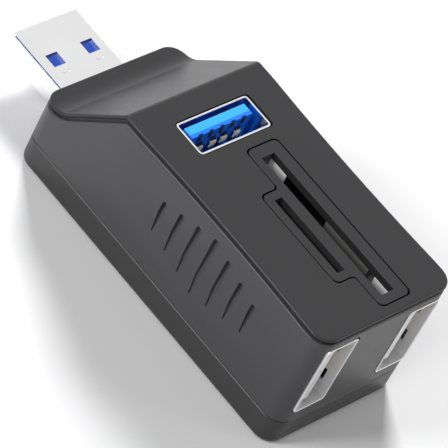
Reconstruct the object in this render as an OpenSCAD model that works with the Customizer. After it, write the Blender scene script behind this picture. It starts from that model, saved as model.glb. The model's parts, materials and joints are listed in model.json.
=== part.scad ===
// Pocket hub with a plug at one end, one socket and two card slots on top
// and two sockets in the far end. Millimetres, Z up.
// The origin is the middle of the underside. The plug points along -X.

/* [Housing] */
// Length of the housing without the plug
body_l = 54.5; // [50:0.5:62]
// Width of the housing
body_w = 24.6; // [24.4:0.2:30]
// Height of the housing over its flat top
body_h = 22.2; // [22:0.2:26]
// Thickness of the side walls
wall = 1.6; // [1.2:0.1:1.7]
// Thickness of the floor
floor_t = 1.4; // [1:0.1:2]
// Radius of the upright corners
corner_r = 2.6; // [2.2:0.2:3.4]
// Radius of the top edges
top_edge_r = 0.8; // [0.4:0.1:1]
// Radius of the bottom edges
base_edge_r = 0.9; // [0.5:0.1:2]
// Drop from the flat top to the low end where the plug leaves
nose_drop = 9.9; // [8.5:0.1:10.7]
// Flat stretch from the bend to the top socket
bend_gap = 3.9; // [3:0.1:4.5]
// Steepness of the sloped front in degrees
slope_angle = 46; // [42:1:52]
// Radius of the hollow at the foot of the slope
cove_r = 4; // [2:0.5:5]
// Radius of the bend at the head of the slope
bend_r = 1; // [0.6:0.2:2]

/* [Seams] */
// Thickness of the top cover's visible edge
cover_lip = 0.85; // [0.6:0.05:1]
// Width of the groove under the top cover
groove_w = 0.4; // [0.2:0.05:0.5]
// Depth of the groove under the top cover
groove_d = 0.5; // [0.3:0.1:0.8]
// Drop from the plug's middle to the seam between body and base
seam_drop = 1.75; // [1.4:0.05:2]
// Width of the line left at the low seam
seam_w = 0.14; // [0.1:0.02:0.2]
// Depth of the line left at the low seam
seam_d = 0.4; // [0.2:0.1:0.6]
// Depth of the lips that reach inside the body walls
lip_h = 1.2; // [0.8:0.1:1.4]
// Thickness of the lips inside the body walls
lip_t = 0.8; // [0.6:0.1:1]
// Clearance round parts that slide together
fit = 0.1; // [0.05:0.01:0.15]

/* [Grip grooves] */
// Number of grooves on each side
grip_count = 7; // [3:2:7]
// Spacing of the grooves
grip_pitch = 3.1; // [2.6:0.1:3.4]
// Distance from the far end to the middle groove
grip_in = 21.1; // [19:0.1:24]
// Drop from the flat top to the grooves' middle
grip_drop = 8.4; // [7.8:0.2:9.2]
// Length of the middle groove
grip_len = 11; // [9:0.2:11.4]
// How much shorter each next groove is
grip_step = 1.8; // [1:0.1:2]
// Width of the middle groove
grip_w = 0.85; // [0.5:0.05:1]
// How much narrower each next groove is
grip_w_step = 0.12; // [0.05:0.01:0.15]
// Length of a groove's pointed foot
grip_foot = 3.4; // [1.5:0.1:4]
// Depth of a groove at its foot
grip_foot_d = 0.15; // [0.05:0.05:0.3]
// Depth of a groove at its upper end
grip_d = 0.5; // [0.3:0.05:0.6]
// Depth of the finger hollow in each side, at the top edge
hollow_d = 0.4; // [0.2:0.05:0.5]
// Half length of the finger hollow along the top edge
hollow_l = 17; // [14:0.5:17.5]
// Drop from the flat top to the foot of the finger hollow
hollow_h = 15.9; // [13:0.1:16.5]
// Height over which the finger hollow sinks in above its foot
hollow_band = 3.6; // [2:0.2:6]

/* [Plug] */
// Width of the plug's sleeve
plug_w = 12; // [11.8:0.1:12.2]
// Height of the plug's sleeve
plug_h = 4.5; // [4.4:0.05:4.6]
// Length of the plug outside the housing
plug_out = 12.7; // [11.5:0.1:13.5]
// Length of the plug inside the housing
plug_in = 5.6; // [4.5:0.1:6]
// Drop from the flat top to the plug's middle
plug_drop = 15.85; // [15.7:0.05:16]
// Sheet thickness of the plug and the sockets
sheet = 0.3; // [0.25:0.01:0.35]
// Edge radius of the plug's sleeve
plug_edge_r = 0.6; // [0.4:0.1:0.8]
// Distance from the plug's mouth to its windows
window_in = 5.2; // [4.8:0.1:5.6]
// Length of a window
window_l = 2.2; // [1.8:0.1:2.4]
// Width of a window
window_w = 2.1; // [1.8:0.1:2.4]
// Distance from the plug's middle to a window's middle
window_y = 3.2; // [2.8:0.1:3.6]
// Thickness of the plug's tongue
plug_tongue_t = 1.95; // [1.8:0.05:2]
// Set-back of the plug's tongue from the mouth
plug_tongue_in = 0.4; // [0.2:0.1:1]

/* [Sockets] */
// Long outside size of a socket's sleeve
port_w = 13.1; // [13:0.05:13.2]
// Short outside size of a socket's sleeve
port_t = 5.7; // [5.6:0.05:5.8]
// Corner radius of a socket's sleeve
port_r = 0.6; // [0.4:0.1:0.8]
// Depth of the end sockets
end_port_depth = 14; // [13:0.2:15]
// Gap between an end socket and the side wall
port_gap = 0.2; // [0.1:0.05:0.4]
// How far the end sockets stand out of the end face
end_port_proud = 0.15; // [0:0.05:0.3]
// Gap between the top socket and the slot insert
top_port_gap = 2.05; // [1:0.05:2.6]
// Sideways place of the top socket's middle
top_port_y = -0.25; // [-1:0.05:0.5]
// Thickness of a socket's tongue
tongue_t = 1.84; // [1.8:0.01:1.9]
// Width of a socket's tongue
tongue_w = 11.1; // [10.8:0.1:11.2]
// Length of a socket's tongue
tongue_l = 8.6; // [8:0.1:9]
// Gap between a socket's tongue and the wall behind it
tongue_back = 0.66; // [0.6:0.01:0.75]
// Set-back of the top socket's tongue from the mouth
top_tongue_in = 0.35; // [0.2:0.05:1]
// Set-back of the end sockets' tongues from the mouth
end_tongue_in = 0.8; // [0.4:0.1:1.2]
// Width of a spring cut-out in a sleeve
spring_w = 2.1; // [1.8:0.1:2.4]
// Length of a spring cut-out in a sleeve
spring_l = 5; // [4:0.2:6]
// Distance from a socket's middle to a spring
spring_y = 2.95; // [2.8:0.05:3.2]
// Distance from a socket's mouth to its springs
spring_in = 1.9; // [1.6:0.1:2.4]

/* [Contacts] */
// Width of a power or data contact
pin_w = 1; // [0.8:0.05:1.1]
// Thickness of a contact
pin_t = 0.2; // [0.15:0.01:0.25]
// Distance from the middle to the inner contacts
pin_inner = 1; // [0.95:0.05:1.1]
// Distance from the middle to the outer contacts
pin_outer = 3.5; // [3.4:0.05:3.6]
// Width of a fast-data contact
fast_pin_w = 0.8; // [0.6:0.05:0.9]
// Spacing of the fast-data contacts
fast_pitch = 2; // [1.9:0.05:2.1]
// How far a socket's spring contact bulges from its tongue
pin_bulge = 0.5; // [0.3:0.05:0.7]

/* [Card slots] */
// Distance from the far end to the long slot
long_in = 3.1; // [2.9:0.1:3.4]
// Length of the long slot
long_l = 24.9; // [24.5:0.1:25.2]
// Share of the free room between the end sockets that lies beyond the long slot
slot_share = 0.28; // [0.2:0.02:0.5]
// Width of the long slot
long_w = 2.35; // [2.25:0.05:2.5]
// Distance from the long slot's start to the short slot's start
short_in = 6.35; // [5.8:0.05:7]
// Length of the short slot
short_l = 13.1; // [12.5:0.1:13.4]
// Width of the short slot
short_w = 1.35; // [1.2:0.05:1.45]
// Thickness of the card board between the slots
card_board_t = 0.8; // [0.6:0.05:0.9]
// Thickness of a card socket's plastic back
socket_back = 0.6; // [0.5:0.05:0.7]
// Thickness of a card socket's plastic side
socket_side = 0.5; // [0.4:0.05:0.6]
// Sheet thickness of a card socket's cover
card_sheet = 0.2; // [0.15:0.01:0.25]
// Rim of the insert before the long slot
insert_start_rim = 1.85; // [1.5:0.05:2.2]
// Rim of the insert after the long slot
insert_stop_rim = 1.45; // [1.2:0.05:1.6]
// Rim of the insert beyond the long slot's far edge
insert_rim = 1.85; // [1.4:0.05:2.1]
// Rim of the insert beside the slots' near edges
insert_near_rim = 1.3; // [1.2:0.05:1.45]
// Rim of the insert's wide part at the short slot's ends
insert_end_rim = 1.3; // [1:0.05:1.6]
// Gap round the slot insert
insert_gap = 0.15; // [0.1:0.01:0.2]
// Thickness of the insert's hidden flange
flange_t = 0.55; // [0.4:0.05:0.6]
// Width of the insert's hidden flange
flange_w = 0.7; // [0.5:0.1:0.8]
// Width of the long socket's metal ears seen in the slot
ear_l = 3.2; // [2.5:0.1:4]
// Length of the plastic wall seen in the long slot
guide_l = 8.8; // [7:0.2:9.5]
// Gap between that plastic wall and the metal ear
guide_gap = 1.3; // [1:0.1:1.6]
// Drop from the slot mouth to the covers behind the ears
ear_h = 4; // [3:0.2:5]

/* [Boards] */
// Thickness of the main board
board_t = 1.2; // [1:0.05:1.3]
// Gap between the boards and the walls
board_gap = 0.4; // [0.3:0.1:0.6]
// Diameter of the posts under the main board
post_d = 3.6; // [3:0.2:4]
// Distance from a post's middle to the walls
post_in = 3.2; // [2.8:0.2:4]
// Side length of the hub chip
chip_l = 7; // [5:0.5:8]
// Height of the hub chip
chip_h = 0.9; // [0.7:0.1:1.2]
// Side length of the card reader chip
reader_l = 5; // [4:0.5:6]

/* [Hidden] */

// Small sizes of the hidden pieces
plug_block = 4;
pin_in = 0.5;
fast_pad_in = 0.2;
fast_l = 1.6;
tail_l = 1.8;
seat = 0.02;
crescent_r = 0.7;
crescent_in = 0.9;
guide_t = 0.4;
floor_h = 1;
short_shift = 0.1;
long_pins = 9;
long_pin_x = 2.05;
long_pin_l = 7;
short_pins = 8;
short_pin_x = 2.4;
short_pin_w = 0.6;
short_pin_l = 6;
insert_r = 0.9;
insert_inner_r = 0.7;
rib_x = 9;
rib_t = 0.8;
hollow_steps = 8;
link_pitch = 1.27;
link_w = 0.5;
link_l = 1.5;
link_in = 0.6;
crystal_size = [3.2, 2.5, 0.8];
regulator_size = [3, 1.6, 1.1];
capacitor_size = [1.4, 0.8, 0.8];
capacitor_pitch = 2;
part_gap = 0.6;
edge_steps = 5;
corner_steps = 6;
eps = 0.01;

// Places that several pieces share
face_x = -body_l / 2;
end_x = body_l / 2;
half_w = body_w / 2;
cover_t = cover_lip + groove_w;
plug_z = body_h - plug_drop;
nose_h = body_h - nose_drop;
seam_z = plug_z - seam_drop;
board_x = face_x + plug_in + pin_t + fit;
board_end = end_x - wall - board_gap;
board_half = half_w - wall - board_gap;
board_top = plug_z + board_t / 2;
board_z = board_top - board_t;
socket_top = body_h - cover_t;
end_port_y = half_w - wall - port_gap - port_t / 2;
end_port_z = board_top + port_w / 2;
port_inner = port_t / 2 - sheet;

// The card sockets stand back to back on the card board, between the end sockets
stack_w = card_sheet + short_w + socket_back - short_shift + card_board_t + socket_back
    + long_w + card_sheet + guide_t;
stack_room = 2 * (end_port_y - port_t / 2);
long_y1 = stack_room / 2 - (stack_room - stack_w) * slot_share - guide_t - card_sheet;
long_y = long_y1 - long_w;
long_x1 = end_x - long_in;
long_x0 = long_x1 - long_l;
guide_x1 = long_x1 - ear_l - guide_gap;
guide_x0 = guide_x1 - guide_l;
card_board_y1 = long_y - socket_back;
card_board_y0 = card_board_y1 - card_board_t;
short_y1 = card_board_y0 - socket_back + short_shift;
short_y0 = short_y1 - short_w;
short_x0 = long_x0 + short_in;
short_x1 = short_x0 + short_l;
insert_x0 = long_x0 - insert_start_rim;
insert_x1 = long_x1 + insert_stop_rim;
insert_y1 = long_y1 + insert_rim;
insert_mid_y = long_y - insert_near_rim;
insert_y0 = short_y0 - insert_near_rim;
top_port_mx = insert_x0 - top_port_gap - port_t / 2;
bend_x = top_port_mx - port_t / 2 - bend_gap;

plug_x0 = face_x - plug_out;
plug_x1 = face_x + plug_in;
plug_tongue_top = plug_z + plug_h / 2 - sheet;
plug_tongue_low = plug_tongue_top - plug_tongue_t;
grip_x = end_x - grip_in;
grip_z = body_h - grip_drop;
hollow_foot = body_h - hollow_h;
hollow_r = (pow(hollow_l, 2) + pow(hollow_d, 2)) / (2 * hollow_d);

// Outline with a rounded corner at each point: [x, y, radius]
function unit(v) = v / norm(v);
function round_corner(p, c, q, r, n) =
    let (
        u = unit(p - c), w = unit(q - c),
        half = acos(u * w) / 2,
        a = c + u * r / tan(half), b = c + w * r / tan(half),
        m = c + unit(u + w) * r / sin(half),
        turn = 180 - 2 * half
    )
    [for (i = [0:n]) m + (sin(turn * (1 - i / n)) * (a - m) + sin(turn * i / n) * (b - m)) / sin(turn)];
function flat(v) = [v[0], v[1]];
function rounded(pts, n) =
    let (k = len(pts))
    [for (i = [0:k - 1])
        let (before = flat(pts[(i + k - 1) % k]), here = flat(pts[i]), after = flat(pts[(i + 1) % k]))
            for (p = pts[i][2] == 0 ? [here] : round_corner(before, here, after, pts[i][2], n)) p];
function rounded_box(x0, y0, x1, y1, r, n) =
    rounded([[x0, y0, r], [x1, y0, r], [x1, y1, r], [x0, y1, r]], n);

// Outline of the housing seen from above, drawn in by an inset
function footprint(inset) =
    let (r = max(corner_r - inset, 0.4))
    rounded_box(face_x + inset, -half_w + inset, end_x - inset, half_w - inset, r, corner_steps);

// Side view of the outer top face, sunk by a depth at right angles to it
knee = [bend_x - nose_drop / tan(slope_angle), nose_h];
bend = [bend_x, body_h];
function top_line(depth) =
    let (
        shift = depth * [tan(slope_angle / 2), -1],
        a = knee + shift, b = bend + shift,
        over = body_l
    )
    [for (i = [0:1])
        for (p = i == 0
            ? concat([[face_x - over, a[1]]],
                round_corner([face_x - over, a[1]], a, b, cove_r + depth, corner_steps))
            : concat(round_corner(a, b, [end_x + over, b[1]], max(bend_r - depth, 0.1), corner_steps),
                [[end_x + over, b[1]]])) p];

// Everything below the top face, sunk by a depth
module below_top(depth) {
    rotate([90, 0, 0])
        linear_extrude(height = 2 * body_w, center = true)
            polygon(concat(top_line(depth), [[end_x + body_l, -body_h], [face_x - body_l, -body_h]]));
}

// Part of an outline between two depths under the top face
module layer(outline, depth0, depth1) {
    difference() {
        intersection() {
            linear_extrude(height = 2 * body_h) polygon(outline);
            below_top(depth0);
        }
        below_top(depth1);
    }
}

// Wall ring inside the housing's outline, from one inset to the next
module ring(inset0, inset1, z0, z1) {
    translate([0, 0, z0]) linear_extrude(height = z1 - z0) difference() {
        polygon(footprint(inset0));
        polygon(footprint(inset1));
    }
}

// Values in rising order, each once
function sorted(v) =
    len(v) < 2 ? v : let (m = v[floor(len(v) / 2)])
    concat(sorted([for (x = v) if (x < m) x]), [m], sorted([for (x = v) if (x > m) x]));

// Depth of the finger hollow at a place on a side
function hollow_at(x, z) =
    max(0, hollow_d * min(1, (z - hollow_foot) / hollow_band) - pow(x - grip_x, 2) / (2 * hollow_r));

// Plan outline with the points that the side line and the hollow need along both long sides
side_stations = sorted(concat(
    [for (p = top_line(0)) p[0]],
    [for (i = [0:hollow_steps]) grip_x - hollow_l + 2 * hollow_l * i / hollow_steps]));
function plan(inset) =
    let (
        r = corner_r - inset,
        side = [for (x = side_stations) if (x > face_x + corner_r + eps && x < end_x - corner_r - eps) x],
        w = half_w - inset,
        turn = [for (i = [0:corner_steps]) 90 * i / corner_steps]
    )
    concat(
        [for (t = turn) [end_x - corner_r + r * cos(t), half_w - corner_r + r * sin(t)]],
        [for (i = [len(side) - 1:-1:0]) [side[i], w]],
        [for (t = turn) [face_x + corner_r - r * sin(t), half_w - corner_r + r * cos(t)]],
        [for (t = turn) [face_x + corner_r - r * cos(t), -half_w + corner_r - r * sin(t)]],
        [for (x = side) [x, -w]],
        [for (t = turn) [end_x - corner_r + r * sin(t), -half_w + corner_r - r * cos(t)]]);

// The plan outline drawn in by the hollow at a height
function hollowed(p, z) = [p[0], p[1] - sign(p[1]) * hollow_at(p[0], z)];
function hollow_plan(inset) = [for (p = plan(inset)) hollowed(p, body_h)];

// One ring of points round the housing: the plan outline laid on the sunk side line
function top_ring(inset, depth) =
    [for (p = plan(inset)) let (z = lookup(p[0], top_line(depth))) concat(hollowed(p, z), z)];
function low_ring(inset, z) = [for (p = plan(inset)) concat(p, z)];

// Outer form of the whole housing, with rounded lower edges, upright corners and top edges
module housing_form() {
    quarter = [for (i = [0:edge_steps]) 90 * i / edge_steps];
    rings = concat(
        [for (t = quarter) low_ring(base_edge_r * (1 - sin(t)), base_edge_r * (1 - cos(t)))],
        [for (t = quarter) top_ring(top_edge_r * (1 - cos(t)), top_edge_r * (1 - sin(t)))]);
    k = len(rings[0]);
    half = k / 2;
    last = len(rings) - 1;
    function next(i) = (i + 1) % k;
    polyhedron(
        points = [for (ring = rings) for (p = ring) p],
        faces = concat(
            [for (j = [0:last - 1], i = [0:k - 1]) [j * k + i, (j + 1) * k + next(i), j * k + next(i)]],
            [for (j = [0:last - 1], i = [0:k - 1]) [j * k + i, (j + 1) * k + i, (j + 1) * k + next(i)]],
            [for (i = [0:half - 2]) [last * k + i, last * k + k - 2 - i, last * k + i + 1]],
            [for (i = [0:half - 2]) [last * k + i, last * k + k - 1 - i, last * k + k - 2 - i]],
            [for (i = [0:half - 2]) [i, i + 1, k - 2 - i]],
            [for (i = [0:half - 2]) [i, k - 2 - i, k - 1 - i]]));
}

// Box from corner to corner
module block(a, b) {
    translate(a) cube(b - a);
}

// Top socket's hole through the cover
module top_port_hole() {
    translate([top_port_mx, top_port_y, body_h - 3 * cover_t])
        linear_extrude(height = 6 * cover_t)
            polygon(port_outline(-fit, port_r + fit));
}

// Room in the lips for the end sockets
module end_port_room() {
    for (side = [-1, 1])
        block([end_x - end_port_depth - fit, side * end_port_y - port_t / 2 - fit, board_top - fit],
            [end_x + wall, side * end_port_y + port_t / 2 + fit, board_top + port_w + fit]);
}

// Hole for the plug, shared by the body and the base
module plug_hole() {
    block([face_x - wall, -plug_w / 2 - fit, plug_z - plug_h / 2 - fit],
        [face_x + wall + lip_t + 3 * fit, plug_w / 2 + fit, plug_z + plug_h / 2 + fit]);
}

module top_cover() {
    color([0.27, 0.27, 0.28])
    difference() {
        union() {
            difference() {
                housing_form();
                below_top(cover_lip);
            }
            layer(hollow_plan(groove_d), cover_lip - eps, cover_t);
            difference() {
                layer(footprint(wall + fit), cover_t - eps, cover_t + lip_h);
                translate([0, 0, -eps])
                    linear_extrude(height = 2 * body_h) polygon(footprint(wall + fit + lip_t));
            }
        }
        top_port_hole();
        translate([0, 0, body_h - 2 * cover_t])
            linear_extrude(height = 4 * cover_t) polygon(insert_outline(insert_gap));
        end_port_room();
    }
}

// Grip groove: square and deep at its upper end, pointed and shallow at its foot
module grip_cut(len, w, foot_d, top_d) {
    tip = w / 8;
    intersection() {
        rotate([90, 0, 0])
            linear_extrude(height = 4 * top_d, center = true)
                polygon([[-w / 2, len / 2], [-w / 2, grip_foot - len / 2], [-tip, -len / 2],
                    [tip, -len / 2], [w / 2, grip_foot - len / 2], [w / 2, len / 2]]);
        rotate([90, 0, 90])
            linear_extrude(height = 2 * w, center = true)
                polygon([[-top_d, -len / 2], [foot_d, -len / 2], [top_d, len / 2], [-top_d, len / 2]]);
    }
}

// Grooves in both sides, set into the finger hollow
module grip_grooves() {
    mid = (grip_count - 1) / 2;
    for (side = [0, 1])
        mirror([0, side, 0])
            for (i = [0:grip_count - 1]) {
                x = grip_x + (i - mid) * grip_pitch;
                len = grip_len - abs(i - mid) * grip_step;
                w = grip_w - abs(i - mid) * grip_w_step;
                foot_d = grip_foot_d + hollow_at(x, grip_z - len / 2);
                top_d = grip_d + hollow_at(x, grip_z + len / 2);
                translate([x, -half_w, grip_z]) grip_cut(len, w, foot_d, top_d);
            }
}

// Shallow finger hollow in both sides: a wide round that sinks in above its foot
module finger_hollows() {
    for (side = [0, 1])
        mirror([0, side, 0])
            translate([grip_x, -half_w + hollow_d - hollow_r, hollow_foot]) {
                translate([0, 0, -hollow_band])
                    cylinder(r1 = hollow_r - 2 * hollow_d, r2 = hollow_r, h = 2 * hollow_band, $fn = 720);
                translate([0, 0, hollow_band])
                    cylinder(r = hollow_r, h = body_h, $fn = 720);
            }
}

module body_shell() {
    color([0.31, 0.31, 0.32])
    difference() {
        intersection() {
            union() {
                ring(seam_d, wall, seam_z, body_h);
                ring(0, wall, seam_z + seam_w, body_h);
            }
            below_top(cover_t);
        }
        finger_hollows();
        grip_grooves();
        plug_hole();
        for (side = [-1, 1])
            translate([end_x, side * end_port_y, end_port_z])
                rotate([0, 90, 0])
                    linear_extrude(height = 4 * wall, center = true)
                        rotate(90) polygon(port_outline(-fit, port_r + fit));
    }
}

module base_cover() {
    post_y = board_half - post_in;
    rib_top = (floor_t + board_z) / 2;
    color([0.29, 0.29, 0.3])
    difference() {
        union() {
            difference() {
                intersection() {
                    housing_form();
                    block([face_x, -half_w, 0], [end_x, half_w, seam_z]);
                }
                translate([0, 0, floor_t]) linear_extrude(height = seam_z) polygon(footprint(wall));
            }
            ring(wall + fit, wall + fit + lip_t, floor_t - eps, seam_z + min(lip_h, board_z - seam_z - fit));
            for (x = [board_x + post_in, board_end - post_in], side = [-1, 1])
                translate([x, side * post_y, floor_t - eps])
                    cylinder(d = post_d, h = board_z - floor_t + eps, $fn = 32);
            for (x = [-rib_x, rib_x])
                block([x - rib_t / 2, -half_w + wall - eps, floor_t - eps],
                    [x + rib_t / 2, half_w - wall + eps, rib_top]);
        }
        plug_hole();
    }
}

// Stepped outline of the slot insert, grown by a gap
function insert_outline(grow) =
    let (
        x0 = insert_x0 - grow, x1 = insert_x1 + grow,
        a0 = short_x0 - insert_end_rim - grow, a1 = short_x1 + insert_end_rim + grow,
        y0 = insert_y0 - grow, ym = insert_mid_y - grow, y1 = insert_y1 + grow
    )
    rounded([
        [x0, ym, insert_r], [a0, ym, insert_inner_r], [a0, y0, insert_r],
        [a1, y0, insert_r], [a1, ym, insert_inner_r], [x1, ym, insert_r],
        [x1, y1, insert_r], [x0, y1, insert_r]], corner_steps);

module card_slot_insert() {
    low = body_h - cover_t - flange_t;
    color([0.28, 0.28, 0.29])
    difference() {
        union() {
            translate([0, 0, body_h - cover_t])
                linear_extrude(height = cover_t) polygon(insert_outline(0));
            intersection() {
                union() {
                    translate([0, 0, low])
                        linear_extrude(height = flange_t + eps) polygon(insert_outline(0));
                    translate([0, 0, low])
                        linear_extrude(height = flange_t) polygon(insert_outline(flange_w));
                }
                block([face_x, -half_w, 0], [end_x - wall - lip_t - 3 * fit, half_w, body_h]);
            }
        }
        block([long_x0, long_y, low - 1], [long_x1, long_y1, body_h + 1]);
        block([short_x0, short_y0, low - 1], [short_x1, short_y1, body_h + 1]);
        block([long_x0 - socket_side - fit, card_board_y0 - fit, low - 1],
            [long_x1 + socket_side + fit, long_y1 + card_sheet + guide_t + fit, socket_top]);
        block([short_x0 - socket_side - fit, short_y0 - card_sheet - fit, low - 1],
            [short_x1 + socket_side + fit, card_board_y0, socket_top]);
    }
}

// Plug: a folded sleeve with two windows above and two below
module plug_outline(inset) {
    polygon(rounded_box(-plug_w / 2 + inset, -plug_h / 2 + inset, plug_w / 2 - inset, plug_h / 2 - inset,
        max(plug_edge_r - inset, 0.1), edge_steps));
}

// Small stamped crescent behind a window
module crescent_cut() {
    difference() {
        cylinder(r = crescent_r, h = sheet, center = true, $fn = 32);
        translate([-crescent_r / 2, 0, 0])
            cylinder(r = crescent_r, h = 2 * sheet, center = true, $fn = 32);
    }
}

module plug_shell() {
    color([0.86, 0.86, 0.87])
    difference() {
        translate([plug_x0, 0, plug_z])
            rotate([90, 0, 90])
                linear_extrude(height = plug_out + plug_in) difference() {
                    plug_outline(0);
                    plug_outline(sheet);
                }
        for (side = [-1, 1]) {
            translate([plug_x0 + window_in, side * window_y - window_w / 2, plug_z - plug_h])
                cube([window_l, window_w, 2 * plug_h]);
            translate([plug_x0 + window_in + window_l + crescent_in, side * window_y, plug_z + plug_h / 2])
                crescent_cut();
        }
    }
}

module plug_insulator() {
    color([0.05, 0.25, 0.75])
    difference() {
        intersection() {
            translate([plug_x0, 0, plug_z])
                rotate([90, 0, 90])
                    linear_extrude(height = plug_out + plug_in) plug_outline(sheet + seat);
            union() {
                block([plug_x0 + plug_tongue_in, -plug_w, plug_tongue_low],
                    [plug_x1, plug_w, plug_z + plug_h]);
                block([plug_x1 - plug_block, -plug_w, plug_z - plug_h], [plug_x1, plug_w, plug_z + plug_h]);
            }
        }
        for (y = [-pin_outer, -pin_inner, pin_inner, pin_outer])
            block([plug_x0 + plug_tongue_in + pin_in, y - pin_w / 2, plug_tongue_low - eps],
                [plug_x1 + eps, y + pin_w / 2, plug_tongue_low + pin_t]);
        for (i = [-2:2])
            block([plug_x0 + plug_out - plug_block, i * fast_pitch - fast_pin_w / 2, board_z - pin_t],
                [plug_x1 + eps, i * fast_pitch + fast_pin_w / 2, board_z]);
    }
}

// Four flat blades let into the tongue, with tails on the main board
module plug_contacts() {
    color([0.85, 0.7, 0.35])
    for (y = [-pin_outer, -pin_inner, pin_inner, pin_outer])
        union() {
            block([plug_x0 + plug_tongue_in + pin_in, y - pin_w / 2, plug_tongue_low],
                [plug_x1 + eps, y + pin_w / 2, plug_tongue_low + pin_t]);
            block([plug_x1, y - pin_w / 2, plug_tongue_low],
                [plug_x1 + pin_t, y + pin_w / 2, board_top + pin_t]);
            block([plug_x1, y - pin_w / 2, board_top],
                [board_x + tail_l, y + pin_w / 2, board_top + pin_t]);
        }
}

// Five fast-data springs behind the blades, with tails under the board
module plug_fast_contacts() {
    color([0.85, 0.7, 0.35])
    for (i = [-2:2])
        block([plug_x0 + plug_out - plug_block, i * fast_pitch - fast_pin_w / 2, board_z - pin_t],
            [board_x + tail_l, i * fast_pitch + fast_pin_w / 2, board_z]);
}

// Socket sleeve outline, mouth up: short side along X, long side along Y
function port_outline(inset, r) =
    let (x = port_t / 2 - inset, y = port_w / 2 - inset) rounded_box(-x, -y, x, y, r, edge_steps);

// Sleeve with its mouth at z = 0, and two springs cut free in each broad side
module port_shell(depth) {
    difference() {
        translate([0, 0, -depth])
            linear_extrude(height = depth) difference() {
                polygon(port_outline(0, port_r));
                polygon(port_outline(sheet, port_r - sheet));
            }
        for (y = [-spring_y, spring_y])
            translate([-port_t, y - spring_w / 2, -spring_in - spring_l])
                cube([2 * port_t, spring_w, spring_l]);
    }
    for (side = [0, 1], y = [-spring_y, spring_y])
        mirror([side, 0, 0])
            translate([port_t / 2 - sheet, y - spring_w / 4, -spring_in - spring_l])
                cube([sheet, spring_w / 2, spring_l * 0.8]);
}

// Tongue and rear block, mouth at z = 0, tongue set back by tongue_in
module port_insulator(depth, tongue_in) {
    x0 = -port_inner + tongue_back;
    tongue_foot = -tongue_in - tongue_l;
    difference() {
        union() {
            block([x0, -tongue_w / 2, tongue_foot - eps], [x0 + tongue_t, tongue_w / 2, -tongue_in]);
            translate([0, 0, -depth])
                linear_extrude(height = depth + tongue_foot)
                    polygon(port_outline(sheet + seat, max(port_r - sheet, 0.1)));
        }
        for (y = [-pin_outer, -pin_inner, pin_inner, pin_outer])
            block([x0 + tongue_t - pin_t, y - pin_w / 2, -depth - eps],
                [x0 + tongue_t + eps, y + pin_w / 2, -tongue_in - fast_l]);
    }
}

// Four springs along the tongue, each bulging out near the mouth
module port_contacts(depth, tongue_in) {
    x0 = -port_inner + tongue_back + tongue_t - pin_t;
    top = -tongue_in - fast_l;
    for (y = [-pin_outer, -pin_inner, pin_inner, pin_outer])
        translate([x0, y + pin_w / 2, 0])
            rotate([90, 0, 0])
                linear_extrude(height = pin_w)
                    polygon([[0, -depth], [pin_t, -depth], [pin_t, top - 4], [pin_t + pin_bulge, top - 1.2],
                        [pin_t + pin_bulge, top - 0.8], [pin_t, top], [0, top],
                        [pin_bulge, top - 0.9], [pin_bulge, top - 1.3], [0, top - 4]]);
}

module top_port() {
    translate([top_port_mx, top_port_y, body_h]) children();
}

// Mouth of an end socket, with the tongue towards -Y
module end_port(side) {
    translate([end_x + end_port_proud, side * end_port_y, end_port_z])
        rotate([90, 0, 0]) rotate([0, 90, 0]) children();
}

top_depth = body_h - board_top;

module top_port_shell() {
    color([0.88, 0.88, 0.89]) top_port() port_shell(top_depth);
}

module top_port_insulator() {
    x1 = -port_inner + tongue_back + tongue_t;
    color([0.1, 0.4, 0.85])
    top_port() difference() {
        port_insulator(top_depth, top_tongue_in);
        for (i = [-2:2])
            block([x1 - pin_t, i * fast_pitch - fast_pin_w / 2, -top_tongue_in - fast_l + fast_pad_in],
                [x1 + eps, i * fast_pitch + fast_pin_w / 2, -top_tongue_in + eps]);
    }
}

module top_port_contacts() {
    color([0.85, 0.7, 0.35]) top_port() port_contacts(top_depth, top_tongue_in);
}

// Five pads let into the front of the tongue
module top_port_fast_contacts() {
    x1 = -port_inner + tongue_back + tongue_t;
    color([0.6, 0.55, 0.4])
    top_port()
        for (i = [-2:2])
            block([x1 - pin_t, i * fast_pitch - fast_pin_w / 2, -top_tongue_in - fast_l + fast_pad_in],
                [x1, i * fast_pitch + fast_pin_w / 2, -top_tongue_in - fast_pad_in]);
}

module left_port_shell() {
    color([0.88, 0.88, 0.89]) end_port(-1) port_shell(end_port_depth);
}

module left_port_insulator() {
    color([0.95, 0.95, 0.95]) end_port(-1) port_insulator(end_port_depth, end_tongue_in);
}

module left_port_contacts() {
    color([0.85, 0.7, 0.35]) end_port(-1) port_contacts(end_port_depth, end_tongue_in);
}

module right_port_shell() {
    color([0.88, 0.88, 0.89]) end_port(1) port_shell(end_port_depth);
}

module right_port_insulator() {
    color([0.95, 0.95, 0.95]) end_port(1) port_insulator(end_port_depth, end_tongue_in);
}

module right_port_contacts() {
    color([0.85, 0.7, 0.35]) end_port(1) port_contacts(end_port_depth, end_tongue_in);
}

// Long card socket: plastic back, sides and floor, and a guide wall seen in the slot
module long_card_socket_base() {
    y = long_y1;
    far = y + card_sheet + guide_t;
    color([0.12, 0.12, 0.13])
    union() {
        block([long_x0 - socket_side, card_board_y1, board_top], [long_x1 + socket_side, long_y, socket_top]);
        for (x = [long_x0 - socket_side, long_x1])
            block([x, card_board_y1, board_top], [x + socket_side, y, socket_top]);
        block([long_x0 - socket_side, card_board_y1, board_top],
            [long_x1 + socket_side, far, board_top + floor_h]);
        block([guide_x0, y + card_sheet, board_top], [guide_x1, far, socket_top]);
        block([guide_x0, y, socket_top - ear_h], [guide_x1, far, socket_top]);
    }
}

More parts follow.
